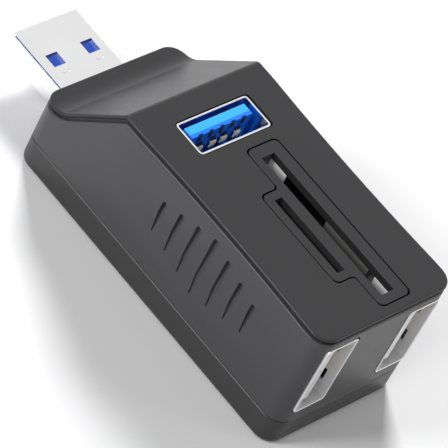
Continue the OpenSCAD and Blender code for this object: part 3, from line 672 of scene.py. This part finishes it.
class HUB_OT_cover(bpy.types.Operator):
    """Builds the top cover with its low end, hollow, slope and rounded edges"""
    bl_idname = "hub.cover"
    bl_label = "Top Cover"

    def execute(self, context):
        h = Housing()
        s = h.size
        rings = [h.sunk_ring(s.groove_depth, h.groove), h.sunk_ring(s.groove_depth, s.lip)]
        rings += [h.sunk_ring(s.tuck, s.lip), h.sunk_ring(s.tuck / 3, (s.lip + s.top_edge) / 2)]
        rings += [h.sunk_ring(inset, drop) for inset, drop in edge_pairs(s.top_edge, 8)]
        piece = new_piece("housing_cover", skin(rings), "cover_plastic", "top_cover")
        cutters = bmesh.new()
        socket_hole(cutters, h)
        carve(piece, cutters)
        cutters = bmesh.new()
        prism(cutters, slot_plate_outline(sizes().slots.gap), h.through_cover)
        carve(piece, cutters)
        soften(piece, s.crisp)
        return {"FINISHED"}


def socket_hole(bm, h):
    """Hole in the cover for the top socket."""
    s = sizes().plug
    gap = s.hole_gap
    outline = rounded_box(
        TOP_LOW.x - gap, TOP_LOW.y - gap, TOP_HIGH.x + gap, TOP_HIGH.y + s.far_gap, s.socket_edge + gap)
    prism(bm, outline, h.through_cover)


def slot_plate_outline(grow):
    """Stepped outline of the slot plate, grown by a gap."""
    s = sizes().slots
    long_x0, long_x1 = LONG_LOW.x + s.side, LONG_HIGH.x - s.side
    short_x0, short_x1 = SHORT_LOW.x + s.side, SHORT_HIGH.x - s.side
    x0 = long_x0 - s.start_rim - grow
    x1 = long_x1 + s.stop_rim + grow
    y1 = s.long_near + s.long_wide + s.far_rim + grow
    mid = s.long_near - s.rim - grow
    y0 = s.short_near - s.rim - grow
    a0, a1 = short_x0 - s.rim - grow, short_x1 + s.rim + grow
    r, q = s.radius, s.inner_radius
    return rounded([
        (x0, mid, r), (a0, mid, q), (a0, y0, r), (a1, y0, r),
        (a1, mid, q), (x1, mid, r), (x1, y1, r), (x0, y1, r)])


class HUB_OT_body(bpy.types.Operator):
    """Builds the side walls with their grip grooves and finger hollows"""
    bl_idname = "hub.body"
    bl_label = "Body"

    ROWS = 34

    def execute(self, context):
        h = Housing()
        s = h.size
        foot = h.seam + s.seam_width
        top_line = h.side_line(h.groove)
        xs, zs = [p[0] for p in top_line], [p[1] for p in top_line]

        def row(t):
            """Ring round the walls, at a share of the way from their foot to their upper edge."""
            low = foot + s.crisp
            highs = [(x, y, float(np.interp(x, xs, zs)) - s.body_edge) for x, y in h.plan(0)]
            return [h.hollowed(x, y, low + (high - low) * t) for x, y, high in highs]

        rings = [h.level_ring(s.seam_depth, h.seam), h.level_ring(s.seam_depth, foot)]
        rings.append(h.level_ring(s.crisp, foot))
        rings += [row(i / self.ROWS) for i in range(self.ROWS + 1)]
        for inset, drop in edge_pairs(s.body_edge, 5)[1:]:
            rings.append([h.hollowed(x, y, float(np.interp(x, xs, zs)) - drop) for x, y in h.plan(inset)])
        rings += [h.sunk_ring(s.wall, h.groove), h.level_ring(s.wall, h.seam)]
        piece = new_piece("housing_body", skin(rings, closed=True), "body_plastic", "body_shell")
        carve(piece, end_holes(h))
        carve(piece, grip_cutters(h))
        shade(piece, BODY_ANGLE)
        return {"FINISHED"}


def end_holes(h):
    """Holes for the end sockets and the plug."""
    s = sizes().plug
    gap, r = s.hole_gap, s.socket_edge + s.hole_gap
    middle, half = (LEFT_LOW.y + LEFT_HIGH.y) / 2, (LEFT_HIGH.y - LEFT_LOW.y) / 2
    bm = bmesh.new()
    for y in (middle, -middle):
        outline = rounded_box(y - half - gap, LEFT_LOW.z - gap, y + half + s.far_gap, LEFT_HIGH.z + gap, r)
        prism(bm, outline, lambda a, b, t: (h.x1 + (t - 0.5) * h.WALL_REACH, a, b))
    outline = rounded_box(PLUG_LOW.y - gap, PLUG_LOW.z - gap, PLUG_HIGH.y + gap, PLUG_HIGH.z + gap, r)
    prism(bm, outline, lambda a, b, t: (h.x0 + (t - 0.5) * h.WALL_REACH, a, b))
    return bm


def grip_cutters(h):
    """Cutters for the grip grooves of both sides."""
    g = sizes().grips
    bm = bmesh.new()
    middle = (g.count - 1) / 2
    for side in (-1, 1):
        for i in range(g.count):
            off = abs(i - middle)
            x = g.along + (i - middle) * g.pitch
            groove(bm, h, side, x, g.longest - off * g.shorter, g.width - off * g.narrower)
    return bm


# Section of a groove cutter, from clear of the side down: shares of its half width and of its depth
GROOVE_SECTION = ((1.0, None), (1.0, 0.0), (0.9, 0.6), (0.66, 0.92), (0.3, 1.0))


def groove(bm, h, side, x, long_, wide):
    """One closed groove cutter: blunt and deep above, with a pointed, shallow foot."""
    g = sizes().grips
    steps, blunt, tip = 16, 0.3, 0.2
    clear, skim = 0.5 * MM, 0.01 * MM
    foot, top = g.height - long_ / 2, g.height + long_ / 2
    levels = [foot + long_ * i / steps for i in range(steps + 1)]
    halves = [wide / 2 * min(1.0, tip + (1 - tip) * (z - foot) / g.point) for z in levels]
    levels[-1:], halves[-1:] = [top - blunt * wide, top], [wide / 2, wide / 2 * (1 - blunt)]
    outline = [(-a, z) for a, z in zip(halves, levels)] + [(a, z) for a, z in zip(halves[::-1], levels[::-1])]
    rings = []
    for share, sink in GROOVE_SECTION:
        ring = []
        for a, z in outline:
            deep = g.foot_depth + (g.depth - g.foot_depth) * (z - foot) / long_
            end = 1 - (1 - share) * wide / 2 / long_ if z == top else 1
            here = h.half - h.hollow(x + a, z)
            down = -clear if sink is None else deep * sink - skim
            ring.append(bm.verts.new((x + a * share, side * (here - down), foot + (z - foot) * end)))
        rings.append(ring)
    faces = [bm.faces.new(rings[0]), bm.faces.new(rings[-1])]
    n = len(outline)
    for low, high in zip(rings, rings[1:]):
        for i in range(n):
            j = (i + 1) % n
            faces.append(bm.faces.new((low[j], low[i], high[i], high[j])))
    bmesh.ops.recalc_face_normals(bm, faces=faces)


class HUB_OT_base(bpy.types.Operator):
    """Builds the base tray with its rounded lower edges"""
    bl_idname = "hub.base"
    bl_label = "Base"

    def execute(self, context):
        h = Housing()
        s = h.size
        rings = [h.level_ring(2 * s.base_edge, 0.0)]
        rings += [h.level_ring(inset, rise) for rise, inset in edge_pairs(s.base_edge, 12)]
        rings += [h.level_ring(s.crisp * t, h.seam - s.crisp * (1 - t)) for t in (0.0, 0.5, 1.0)]
        rings += [h.level_ring(s.wall, h.seam), h.level_ring(s.wall, s.floor)]
        piece = new_piece("housing_base", skin(rings), "base_plastic", "base_cover")
        carve(piece, end_holes(h))
        shade(piece, EDGE_ANGLE)
        return {"FINISHED"}


class HUB_OT_slot_plate(bpy.types.Operator):
    """Builds the stepped plate round the two card slots"""
    bl_idname = "hub.slot_plate"
    bl_label = "Slot Plate"

    BELOW = 3 * MM
    ABOVE = 1 * MM

    def execute(self, context):
        s = sizes().slots
        top = COVER_HIGH.z
        bm = bmesh.new()
        prism(bm, slot_plate_outline(0), lambda x, y, t: (x, y, top - s.thick * (1 - t)))
        piece = new_piece("slot_plate", bm, "insert_plastic", "card_slot_insert")
        cutters = bmesh.new()
        for low, high, near, wide in (
                (LONG_LOW, LONG_HIGH, s.long_near, s.long_wide),
                (SHORT_LOW, SHORT_HIGH, s.short_near, s.short_wide)):
            start = (low.x + s.side, near, top - self.BELOW)
            block(cutters, start, (high.x - s.side, near + wide, top + self.ABOVE))
        carve(piece, cutters)
        soften(piece, sizes().housing.crisp)
        return {"FINISHED"}


def halfway(points, others):
    """Points midway between two outlines."""
    return [((a[0] + b[0]) / 2, (a[1] + b[1]) / 2) for a, b in zip(points, others)]


def sleeve(outline, inner, place, share):
    """Open tube of sheet between two outlines. Its cut edges are eased over a share of its length."""
    bm = bmesh.new()
    mean = halfway(outline, inner)
    outer_edge, inner_edge = halfway(outline, mean), halfway(inner, mean)

    def ring(points, t):
        return [bm.verts.new(place(p[0], p[1], t)) for p in points]

    rows = [
        ring(outer_edge, 0.0), ring(outline, share), ring(outline, 1 - share), ring(outer_edge, 1.0),
        ring(inner_edge, 1.0), ring(inner, 1 - share), ring(inner, share), ring(inner_edge, 0.0)]
    n = len(outline)
    for low, high in zip(rows, rows[1:] + rows[:1]):
        for i in range(n):
            j = (i + 1) % n
            bm.faces.new((low[i], low[j], high[j], high[i]))
    bmesh.ops.recalc_face_normals(bm, faces=bm.faces)
    return bm


class HUB_OT_plug(bpy.types.Operator):
    """Builds the plug's folded sleeve with its windows, crescents and seam"""
    bl_idname = "hub.plug"
    bl_label = "Plug"

    SEAM_PLACE = 0.3
    DIAGONAL = 0.7
    STAMP_DEPTH = 0.16 * MM
    STAMP_ANGLE = 75
    HOLLOW_ANGLE = 70
    HOLLOW_SHARE = 0.9
    HOLLOW_BACK = 0.25
    TONGUE_THICK = 1.95 * MM
    TONGUE_GAP = 0.02 * MM
    TONGUE_EDGE = 0.06 * MM
    BLOCK_LONG = 4 * MM
    BLOCK_SIDE = 0.1 * MM
    OVERLAP = 0.3 * MM

    def execute(self, context):
        s = sizes().plug
        z = (PLUG_LOW.z + PLUG_HIGH.z) / 2
        w, t = PLUG_HIGH.y, (PLUG_HIGH.z - PLUG_LOW.z) / 2
        outer = rounded_box(-w, -t, w, t, s.edge, 10)
        inner = rounded_box(-w + s.sheet, -t + s.sheet, w - s.sheet, t - s.sheet, s.edge - s.sheet, 10)
        run = PLUG_HIGH.x - PLUG_LOW.x
        bm = sleeve(outer, inner, lambda a, b, u: (PLUG_LOW.x + run * u, a, z + b), s.crisp / run)
        piece = new_piece("plug_sleeve", bm, "nickel_plate", "plug_shell")
        cutters = bmesh.new()
        x = PLUG_LOW.x + s.window_in
        for side in (-1, 1):
            y = side * s.window_side
            near, far = y - s.window_wide / 2, y + s.window_wide / 2
            block(cutters, (x, near, z - 2 * t), (x + s.window_long, far, z + 2 * t))
            self.crescent(cutters, x + s.window_long + s.crescent_gap, y, z + t, s.crescent)
        self.seam(cutters, -w, z + t, s)
        carve(piece, cutters)
        shade(piece, EDGE_ANGLE)
        self.tongue()
        return {"FINISHED"}

    def crescent(self, bm, x, y, top, r):
        """Stamped crescent: an arc and, a share of its radius behind it, a smaller one."""
        middle = (x - self.HOLLOW_BACK * r, y)
        hollow = turn(middle, r * self.HOLLOW_SHARE, self.HOLLOW_ANGLE, -self.HOLLOW_ANGLE, 10)
        arc = turn((x, y), r, -self.STAMP_ANGLE, self.STAMP_ANGLE, 10)
        prism(bm, arc + hollow, lambda a, b, t: (a, b, top - self.STAMP_DEPTH + t * MM))

    def seam(self, bm, side, top, s):
        """Slit through the sheet, along the sleeve's near upper edge."""
        fold = self.SEAM_PLACE * s.edge
        across, through = s.seam / 2 * self.DIAGONAL, s.sheet
        outline = [
            (side + fold + wide * across + deep * through, top - fold + wide * across - deep * through)
            for wide, deep in ((-1, -1), (1, -1), (1, 1), (-1, 1))]
        start = PLUG_LOW.x - MM
        prism(bm, outline, lambda a, b, u: (start + (BODY_LOW.x - start) * u, a, b))

    def tongue(self):
        """Blue tongue in the upper half of the sleeve, and the block behind it."""
        low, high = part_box("plug_insulator")
        bm = bmesh.new()
        floor = high.z - self.TONGUE_THICK
        block(bm, (low.x, low.y, floor), (high.x, high.y, high.z - self.TONGUE_GAP))
        start = (high.x - self.BLOCK_LONG, low.y + self.BLOCK_SIDE, low.z)
        block(bm, start, (high.x, high.y - self.BLOCK_SIDE, floor + self.OVERLAP))
        soften(new_piece("plug_tongue", bm, "blue_plastic", "plug_insulator"), self.TONGUE_EDGE)


class HUB_OT_sockets(bpy.types.Operator):
    """Builds the folded sleeves of the top and end sockets"""
    bl_idname = "hub.sockets"
    bl_label = "Sockets"

    SLIT = 0.45 * MM
    TIP_GAP = 1.1 * MM

    def execute(self, context):
        half = (TOP_HIGH - TOP_LOW) / 2
        middle = (TOP_LOW + TOP_HIGH) / 2
        self.build(
            "top_sleeve", "top_port_shell", half.x, half.y, TOP_HIGH.z - TOP_LOW.z,
            lambda a, b, d, m=middle: (m.x + a, m.y + b, TOP_HIGH.z - d))
        for name, node in (("left_sleeve", "left_port_shell"), ("right_sleeve", "right_port_shell")):
            low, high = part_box(node)
            half = (high - low) / 2
            middle = (low + high) / 2
            self.build(
                name, node, half.y, half.z, high.x - low.x,
                lambda a, b, d, m=middle, end=high.x: (end - d, m.y + a, m.z + b))
        return {"FINISHED"}

    def build(self, name, node, half_a, half_b, run, place):
        """One sleeve with a spring cut-out on each side of the middle of its two broad walls."""
        s = sizes().plug
        outer = rounded_box(-half_a, -half_b, half_a, half_b, s.socket_edge, 8)
        a, b = half_a - s.sheet, half_b - s.sheet
        inner = rounded_box(-a, -b, a, b, s.socket_edge - s.sheet, 8)
        bm = sleeve(outer, inner, lambda a, b, u: place(a, b, run * u), s.crisp / run)
        piece = new_piece(name, bm, "nickel_plate", node)
        cutters = bmesh.new()
        slit = self.SLIT
        for wall in (-1, 1):
            for side in (-1, 1):
                b0 = side * s.spring_side - s.spring_wide / 2
                b1 = b0 + s.spring_wide
                d0, d1 = s.spring_in, s.spring_in + s.spring_long
                tip = d0 + self.TIP_GAP
                outline = [
                    (b0, d0), (b1, d0), (b1, d1), (b1 - slit, d1), (b1 - slit, tip),
                    (b0 + slit, tip), (b0 + slit, d1), (b0, d1)]
                edge = wall * (half_a - s.sheet / 2)
                prism(cutters, outline, lambda b, d, t, e=edge: place(e + (t - 0.5) * 4 * s.sheet, b, d))
        carve(piece, cutters)
        shade(piece, EDGE_ANGLE)


class HUB_OT_finishes(bpy.types.Operator):
    """Puts a finish on every piece and every carried-over part"""
    bl_idname = "hub.finishes"
    bl_label = "Finishes"

    EASED_EDGE = 0.04 * MM
    OTHER_FINISHES = {
        "top_port_insulator": "painted_light_blue", "top_port_contacts": "tips_with_painted_light_and_shade",
        "top_port_fast_contacts": "painted_shade_pads", "long_card_socket_base": "guide_plastic"}

    def execute(self, context):
        by_slot = finishes()
        slots = {p["node"]: p["material_slot"] for p in frame["record"]["subparts"]}
        for node, piece in frame["nodes"].items():
            dress(piece, by_slot[slots[node]])
            if not piece.hide_render:
                soften(piece, self.EASED_EDGE)
        for piece in context.scene.objects:
            if piece.type == "MESH" and piece.get("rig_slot"):
                dress(piece, by_slot[piece["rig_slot"]])
        for node, slot in self.OTHER_FINISHES.items():
            dress(frame["nodes"][node], by_slot[slot])
        for name in ("left_sleeve", "right_sleeve"):
            dress(bpy.data.objects[name], by_slot["socket_nickel"])
        return {"FINISHED"}


class HUB_OT_stage(bpy.types.Operator):
    """Sets up the pale floor, the soft lamps and the camera"""
    bl_idname = "hub.stage"
    bl_label = "Stage"

    FLOOR_HALF = 2.0
    FLOOR_GLOW = 0.04
    WORLD_LEVEL = 0.17
    REFLECTED_LEVEL = 0.68
    SEEN_LEVEL = 0.83
    CLIP_START = 0.01
    # Name, place, height aimed at, size in metres, power in watts, and whether reflections show the lamp
    LAMPS = (
        ("key", (-0.6, 0.48, 0.6), 0.01, 0.24, 9.2, False),
        ("front", (-0.26, -0.6, 0.5), 0.01, 0.2, 2.7, True),
        ("fill", (0.08, -0.42, 0.6), 0.02, 0.2, 0.7, False),
        ("rim", (0.57, 0.5, 0.27), 0.02, 0.2, 0.6, True))

    def execute(self, context):
        s = sizes().stage
        scene = context.scene
        scene.view_settings.view_transform = "Standard"
        self.floor(s)
        self.world(scene)
        for lamp in self.LAMPS:
            self.lamp(*lamp)
        self.camera(scene, s)
        return {"FINISHED"}

    def floor(self, s):
        """Pale floor that keeps the shadow and glows a little to the camera."""
        bm = bmesh.new()
        bmesh.ops.create_grid(bm, x_segments=1, y_segments=1, size=self.FLOOR_HALF)
        mesh = bpy.data.meshes.new("floor")
        bm.to_mesh(mesh)
        bm.free()
        floor = bpy.data.objects.new("floor", mesh)
        bpy.context.scene.collection.objects.link(floor)
        finish = Finish("pale floor")
        seen = finish.node("LightPath", output="Is Camera Ray")
        diffuse = finish.node("BsdfDiffuse", {}, {"Color": tuple(s.floor_colour)})
        glow = finish.node("Emission", {}, {"Color": (1, 1, 1), "Strength": seen * self.FLOOR_GLOW})
        both = finish.node("AddShader", {}, {0: diffuse, 1: glow})
        finish.node("OutputMaterial", {}, {"Surface": both})
        floor.data.materials.append(finish.owner)

    def world(self, scene):
        """Even white light, brighter to the camera and in reflections."""
        finish = Finish("studio", world=True)
        glossy = finish.node("LightPath", output="Is Glossy Ray")
        seen = finish.node("LightPath", output="Is Camera Ray")
        level = self.WORLD_LEVEL + glossy * self.REFLECTED_LEVEL + seen * self.SEEN_LEVEL
        light = finish.node("Background", {}, {"Color": (1, 1, 1), "Strength": level})
        finish.node("OutputWorld", {}, {"Surface": light})
        scene.world = finish.owner

    def lamp(self, name, place, aim_height, size, power, reflected):
        """Square lamp that faces a point above the middle of the floor."""
        light = bpy.data.lights.new(name, "AREA")
        light.size = size
        light.energy = power
        lamp = bpy.data.objects.new(name, light)
        lamp.location = place
        lamp.visible_glossy = reflected
        away = Vector(place) - Vector((0, 0, aim_height))
        lamp.rotation_euler = away.to_track_quat("Z", "Y").to_euler()
        bpy.context.scene.collection.objects.link(lamp)

    def camera(self, scene, s):
        """Camera from the picture's right and down directions."""
        right = Vector(s.camera_right).normalized()
        up = -Vector(s.camera_down)
        up = (up - right * up.dot(right)).normalized()
        back = right.cross(up)
        data = bpy.data.cameras.new("camera")
        data.lens = s.focal
        data.sensor_width = s.sensor
        data.clip_start = self.CLIP_START
        camera = bpy.data.objects.new("camera", data)
        turned = Matrix((right, up, back)).transposed().to_4x4()
        camera.matrix_world = Matrix.Translation(Vector(s.camera_place)) @ turned
        scene.collection.objects.link(camera)
        scene.camera = camera


class PocketHub(bpy.types.PropertyGroup):
    """All settings of the hub."""
    housing: bpy.props.PointerProperty(type=HousingSizes)
    grips: bpy.props.PointerProperty(type=GripSizes)
    plug: bpy.props.PointerProperty(type=PlugSizes)
    slots: bpy.props.PointerProperty(type=SlotSizes)
    colours: bpy.props.PointerProperty(type=FinishColours)
    stage: bpy.props.PointerProperty(type=StageSettings)


OPERATORS = (
    HUB_OT_cover, HUB_OT_body, HUB_OT_base, HUB_OT_slot_plate, HUB_OT_plug, HUB_OT_sockets,
    HUB_OT_finishes, HUB_OT_stage)


class HUB_PT_panel(bpy.types.Panel):
    """Lists the steps that build the hub"""
    bl_label = "Pocket Hub"
    bl_idname = "HUB_PT_panel"
    bl_space_type = "VIEW_3D"
    bl_region_type = "UI"
    bl_category = "Hub"

    def draw(self, context):
        for operator in OPERATORS:
            self.layout.operator(operator.bl_idname)
        for group in ("housing", "grips", "plug", "slots", "colours", "stage"):
            box = self.layout.box()
            settings = getattr(context.scene.pocket_hub, group)
            for name in settings.__annotations__:
                box.prop(settings, name)


CLASSES = (
    HousingSizes, GripSizes, PlugSizes, SlotSizes, FinishColours, StageSettings, PocketHub,
    *OPERATORS, HUB_PT_panel)


def register():
    for item in CLASSES:
        bpy.utils.register_class(item)
    bpy.types.Scene.pocket_hub = bpy.props.PointerProperty(type=PocketHub)


def unregister():
    del bpy.types.Scene.pocket_hub
    for item in reversed(CLASSES):
        bpy.utils.unregister_class(item)


def main():
    register()
    for operator in OPERATORS:
        group, name = operator.bl_idname.split(".")
        getattr(getattr(bpy.ops, group), name)()


if __name__ == "__main__":
    main()
